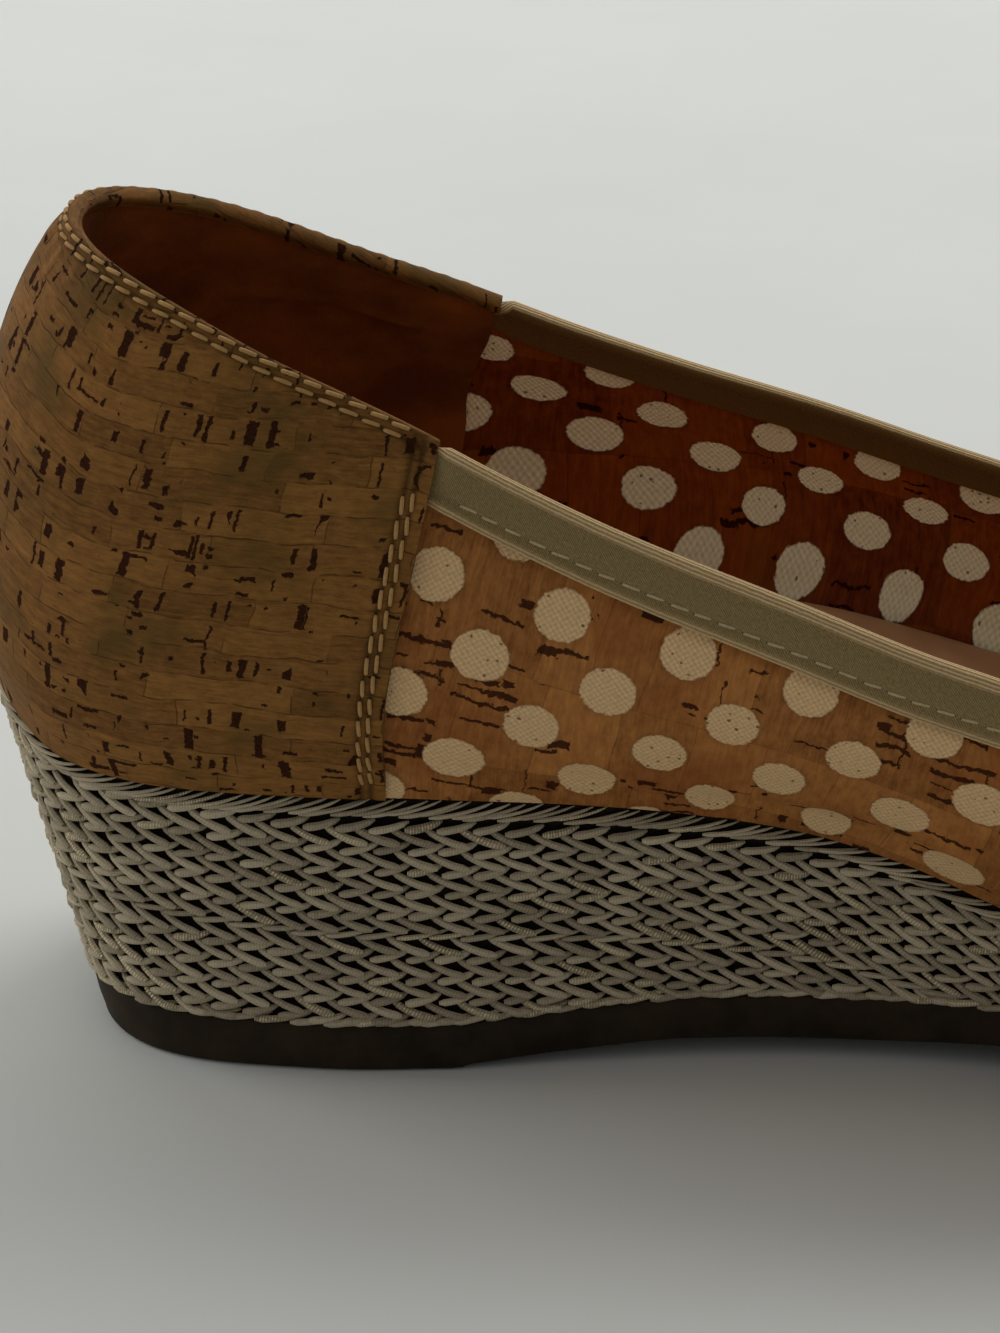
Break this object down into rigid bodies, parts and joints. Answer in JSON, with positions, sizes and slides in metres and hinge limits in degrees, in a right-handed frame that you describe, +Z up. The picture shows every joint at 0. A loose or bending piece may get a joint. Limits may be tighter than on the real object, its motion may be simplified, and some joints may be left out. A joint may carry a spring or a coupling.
{
  "type": "wedge ballet flat",
  "caption": "Left wedge ballet flat with a cork upper, stitched heel counter, taped topline, braid-wrapped wedge and a rubber outsole; open at the collar for a foot.",
  "frame": {"origin": "on the floor, under the middle of the shoe's bounding box", "axes": "+X from heel to toe, +Y to the outer side of the left foot, +Z up"},
  "size_m": [0.2654, 0.0838, 0.1017],
  "materials": {
    "outsole_rubber": "dark brown moulded rubber, matt",
    "wedge_foam": "light foam, hidden by the braid",
    "braid_cord": "taupe corded braid",
    "upper_cork": "cork veneer on cloth with pale linen dots, satin",
    "counter_cork": "cork veneer with dark flecks, satin",
    "binding_tape": "olive ribbed tape",
    "insole_leather": "smooth brown leather"
  },
  "bodies": {
    "root": {"outsole": "outsole_rubber", "wedge_core": "wedge_foam", "braid_band_upper": "braid_cord", "braid_band_lower": "braid_cord", "upper": "upper_cork", "heel_counter": "counter_cork", "topline_binding": "binding_tape", "insole": "insole_leather"}
  },
  "joints": []
}
